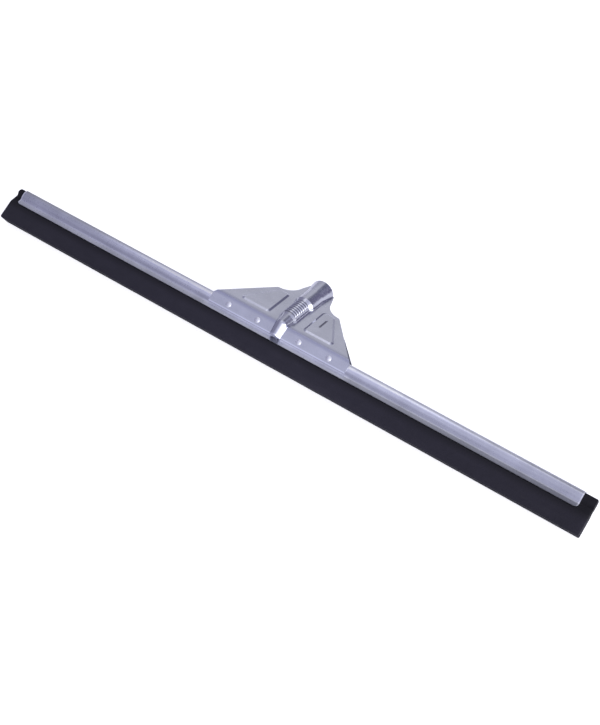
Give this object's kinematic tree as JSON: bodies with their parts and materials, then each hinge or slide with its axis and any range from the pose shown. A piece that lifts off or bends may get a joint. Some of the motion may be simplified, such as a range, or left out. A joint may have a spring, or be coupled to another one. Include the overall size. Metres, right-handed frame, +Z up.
{
  "type": "floor squeegee head",
  "caption": "Wide floor squeegee head: a folded zinc-plated steel channel grips a black foam blade, and a riveted pressed-steel bracket forms an angled handle socket.",
  "frame": {"origin": "middle of the footprint on the table, with the head laid on its back", "axes": "+X along the blade, +Y from the foam edge to the handle socket, +Z up from the table through the front face"},
  "size_m": [0.752, 0.1226, 0.0417],
  "materials": {
    "channel_steel": "zinc-plated, satin",
    "bracket_steel": "zinc-plated, bright pressed sheet",
    "rivet_steel": "zinc-plated, bright",
    "foam": "matt closed-cell foam rubber"
  },
  "bodies": {
    "root": {"blade_channel": "channel_steel", "front_foam_strip": "foam", "rear_foam_strip": "foam", "front_bracket_plate": "bracket_steel", "rear_bracket_plate": "bracket_steel", "flange_rivets": "rivet_steel"}
  },
  "joints": []
}
